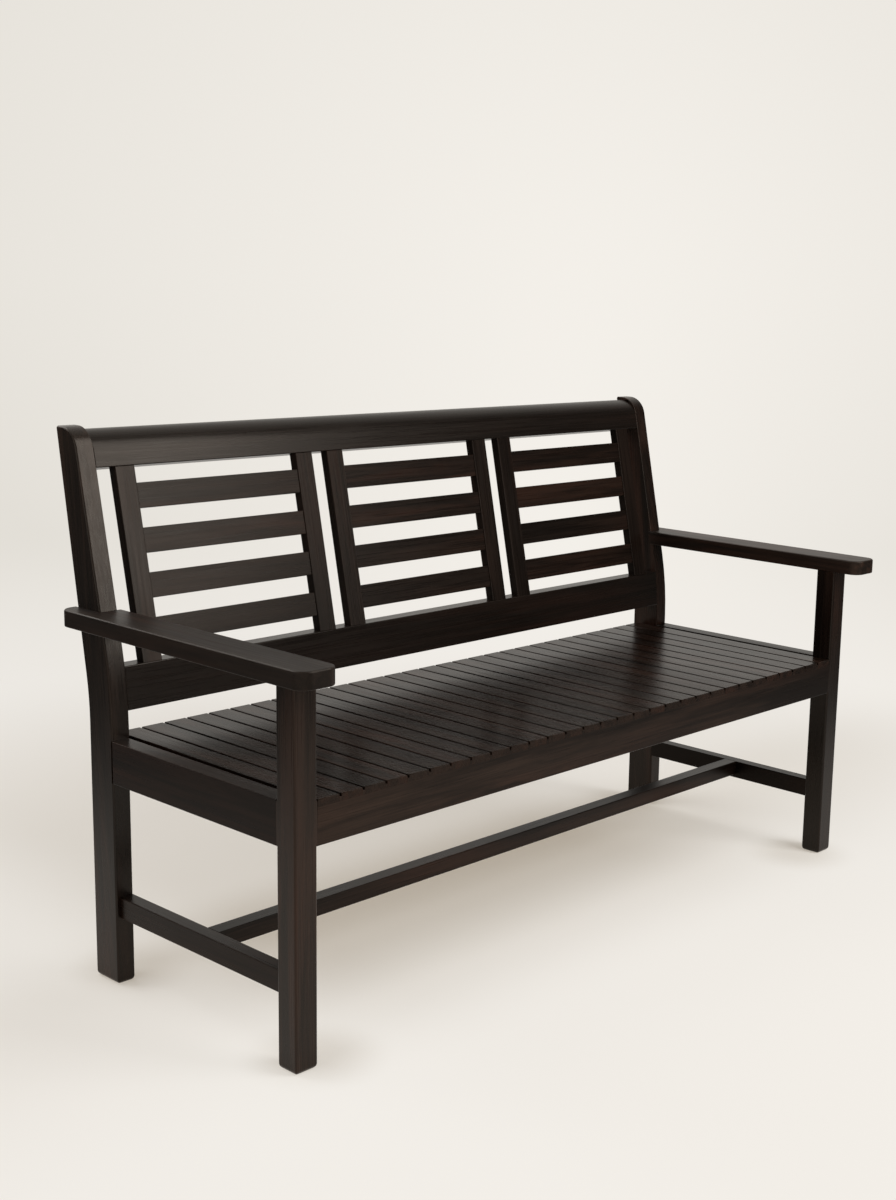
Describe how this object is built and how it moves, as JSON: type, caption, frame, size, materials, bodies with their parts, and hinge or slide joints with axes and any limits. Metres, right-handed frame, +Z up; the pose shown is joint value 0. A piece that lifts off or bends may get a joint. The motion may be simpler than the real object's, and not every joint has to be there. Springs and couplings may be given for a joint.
{
  "type": "garden bench",
  "caption": "Hardwood garden bench with arms, a raked back of slatted panels and a seat of narrow slats, near-black brown stain.",
  "frame": {"origin": "on the floor under the middle of the bench", "axes": "+X along the bench to the right seen from the front, +Y to the back, +Z up"},
  "size_m": [1.5, 0.6456, 0.914],
  "materials": {
    "post_wood": "near-black brown stain under satin lacquer, fine grain along the piece",
    "arm_wood": "near-black brown stain under satin lacquer, fine grain along the piece",
    "side_wood": "near-black brown stain under satin lacquer, fine grain along the piece",
    "rail_wood": "near-black brown stain under satin lacquer, fine grain along the piece",
    "back_rail_wood": "near-black brown stain under satin lacquer, fine grain along the piece",
    "stile_wood": "near-black brown stain under satin lacquer, fine grain along the piece",
    "back_slat_wood": "near-black brown stain under satin lacquer, fine grain along the piece",
    "seat_wood": "near-black brown stain under satin lacquer, fine grain along the piece",
    "dowel_wood": "raw",
    "screw_steel": "bright zinc"
  },
  "bodies": {
    "root": {"front_leg_left": "post_wood", "rear_post_left": "post_wood", "arm_left": "arm_wood", "side_seat_rail_left": "side_wood", "side_stretcher_left": "side_wood", "front_leg_right": "post_wood", "rear_post_right": "post_wood", "arm_right": "arm_wood", "side_seat_rail_right": "side_wood", "side_stretcher_right": "side_wood", "front_seat_rail": "rail_wood", "rear_seat_rail": "rail_wood", "centre_stretcher": "rail_wood", "seat_bearer": "rail_wood", "crest_rail": "back_rail_wood", "lower_back_rail": "back_rail_wood", "back_stile_1": "stile_wood", "back_stile_2": "stile_wood", "back_stile_3": "stile_wood", "back_stile_4": "stile_wood", "back_stile_5": "stile_wood", "back_stile_6": "stile_wood", "back_slats_left": "back_slat_wood", "back_slats_middle": "back_slat_wood", "back_slats_right": "back_slat_wood", "seat_slat_01": "seat_wood", "seat_slat_02": "seat_wood", "seat_slat_03": "seat_wood", "seat_slat_04": "seat_wood", "seat_slat_05": "seat_wood", "seat_slat_06": "seat_wood", "seat_slat_07": "seat_wood", "seat_slat_08": "seat_wood", "seat_slat_09": "seat_wood", "seat_slat_10": "seat_wood", "seat_slat_11": "seat_wood", "seat_slat_12": "seat_wood", "seat_slat_13": "seat_wood", "seat_slat_14": "seat_wood", "seat_slat_15": "seat_wood", "seat_slat_16": "seat_wood", "seat_slat_17": "seat_wood", "seat_slat_18": "seat_wood", "seat_slat_19": "seat_wood", "seat_slat_20": "seat_wood", "seat_slat_21": "seat_wood", "seat_slat_22": "seat_wood", "seat_slat_23": "seat_wood", "seat_slat_24": "seat_wood", "seat_slat_25": "seat_wood", "seat_slat_26": "seat_wood", "seat_slat_27": "seat_wood", "seat_slat_28": "seat_wood", "seat_slat_29": "seat_wood", "seat_slat_30": "seat_wood", "arm_dowels": "dowel_wood", "slat_screws": "screw_steel"}
  },
  "joints": []
}
